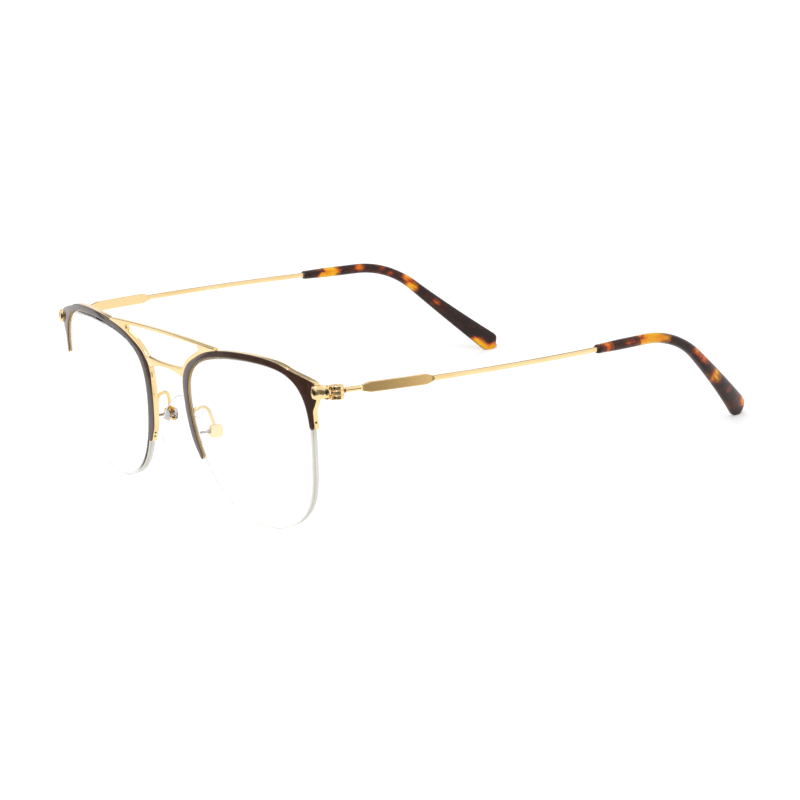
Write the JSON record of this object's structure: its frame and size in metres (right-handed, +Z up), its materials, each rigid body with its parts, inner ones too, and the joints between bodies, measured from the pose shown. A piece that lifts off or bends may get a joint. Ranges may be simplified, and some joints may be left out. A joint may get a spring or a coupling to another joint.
{
  "type": "eyeglass frame",
  "caption": "Half-rim metal eyeglass frame with a straight top bar over a lower bridge, lacquered brow plates, adjustable nose pads and folding wire temples with tortoise tips.",
  "frame": {"origin": "on the surface that the open frame stands on, in the middle of its width and depth", "axes": "+X to the wearer's left across the front, +Y back along the temples, +Z up"},
  "size_m": [0.149, 0.139, 0.0462],
  "materials": {
    "polished_gold": "polished, pale gold plating",
    "satin_gold": "fine satin, pale gold plating",
    "brown_lacquer": "gloss dark brown lacquer",
    "demo_lens": "clear polished lens",
    "clear_nylon": "clear nylon, slightly milky",
    "dark_steel": "darkened steel screw",
    "clear_insert": "clear stiff plastic inside the pad",
    "clear_silicone": "clear soft silicone",
    "tortoise_acetate": "polished tortoise pattern acetate"
  },
  "bodies": {
    "front": {"double_bridge": "polished_gold", "brow_plate_left": "brown_lacquer", "eyewire_left": "polished_gold", "rim_liner_left": "clear_nylon", "lens_left": "demo_lens", "nylon_cord_left": "clear_nylon", "pad_arm_left": "polished_gold", "pad_box_left": "polished_gold", "pad_screw_left": "dark_steel", "end_piece_left": "polished_gold", "hinge_screw_left": "polished_gold", "brow_plate_right": "brown_lacquer", "eyewire_right": "polished_gold", "rim_liner_right": "clear_nylon", "lens_right": "demo_lens", "nylon_cord_right": "clear_nylon", "pad_arm_right": "polished_gold", "pad_box_right": "polished_gold", "pad_screw_right": "dark_steel", "end_piece_right": "polished_gold", "hinge_screw_right": "polished_gold"},
    "temple_arm_left": {"temple_knuckle_left": "polished_gold", "temple_left": "satin_gold", "temple_tip_left": "tortoise_acetate"},
    "pad_unit_left": {"pad_core_left": "clear_insert", "nose_pad_left": "clear_silicone"},
    "temple_arm_right": {"temple_knuckle_right": "polished_gold", "temple_right": "satin_gold", "temple_tip_right": "tortoise_acetate"},
    "pad_unit_right": {"pad_core_right": "clear_insert", "nose_pad_right": "clear_silicone"}
  },
  "joints": [
    {"name": "temple_fold_left", "type": "hinge", "parent": "front", "child": "temple_arm_left", "pos_m": [0.0697, -0.05959, 0.0385], "axis": [0, 0.0906, 0.9959], "range_deg": [0, 84]},
    {"name": "temple_fold_right", "type": "hinge", "parent": "front", "child": "temple_arm_right", "pos_m": [-0.0697, -0.05959, 0.0385], "axis": [0, -0.0906, -0.9959], "range_deg": [0, 77]},
    {"name": "pad_rock_left", "type": "hinge", "parent": "front", "child": "pad_unit_left", "pos_m": [0.01265, -0.06296, 0.0199], "axis": [0, 0.9903, -0.1392], "range_deg": [-8, 8]},
    {"name": "pad_rock_right", "type": "hinge", "parent": "front", "child": "pad_unit_right", "pos_m": [-0.01265, -0.06296, 0.0199], "axis": [0, -0.9903, 0.1392], "range_deg": [-8, 8]}
  ]
}
